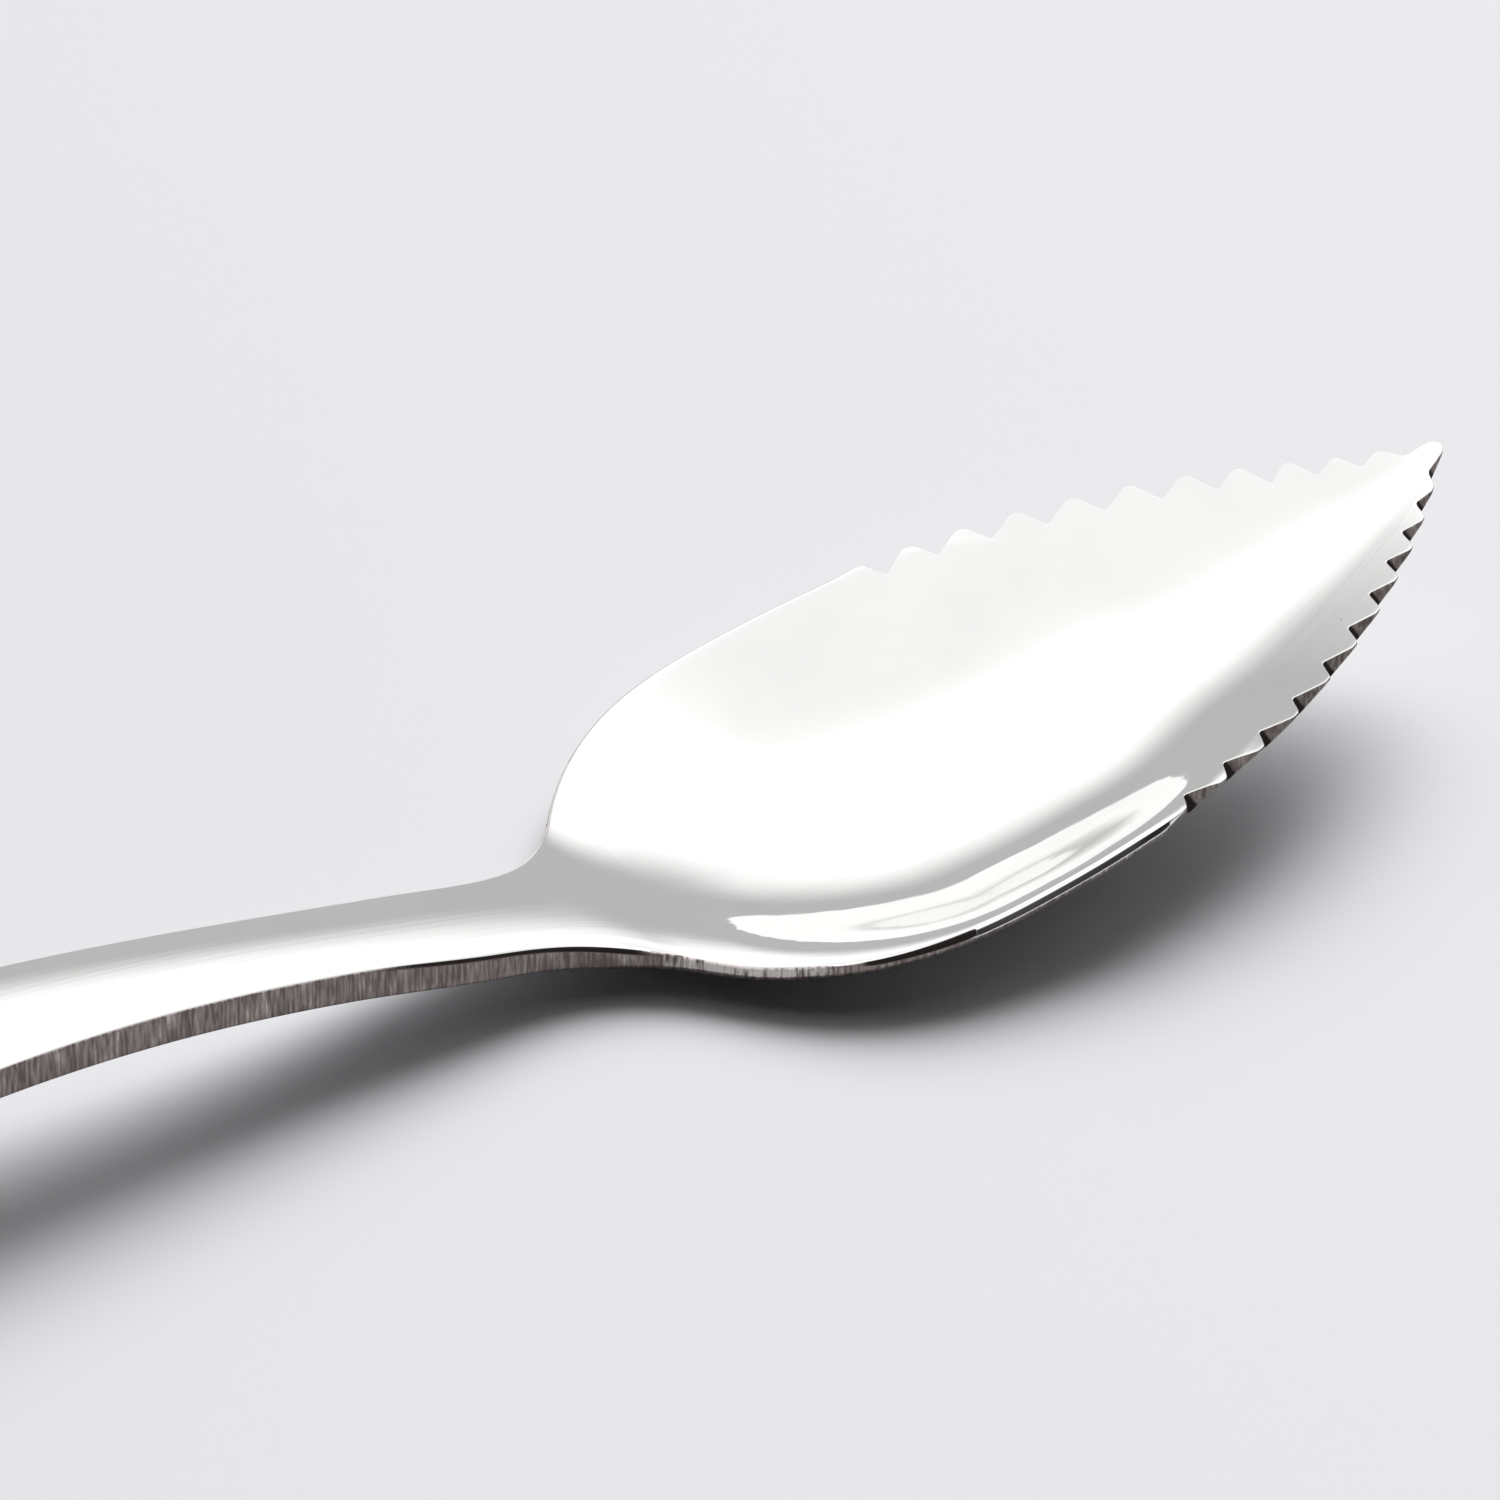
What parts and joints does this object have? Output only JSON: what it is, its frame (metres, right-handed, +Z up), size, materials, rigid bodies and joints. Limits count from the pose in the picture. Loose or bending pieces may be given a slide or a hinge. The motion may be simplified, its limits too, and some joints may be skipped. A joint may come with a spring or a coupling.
{
  "type": "serrated fruit spoon",
  "caption": "Pressed stainless-steel fruit spoon with a pointed shallow bowl, saw teeth along both front edges, a slim neck and an arched handle with a rounded end.",
  "frame": {"origin": "on the table under the middle of the spoon's length, on its centre line", "axes": "+X along the spoon towards the tip of the bowl, +Y to the spoon's left, +Z up out of the bowl"},
  "size_m": [0.16, 0.032, 0.0136],
  "materials": {
    "polished_steel": "polished"
  },
  "bodies": {
    "root": {"bowl": "polished_steel", "neck": "polished_steel", "handle": "polished_steel"}
  },
  "joints": []
}
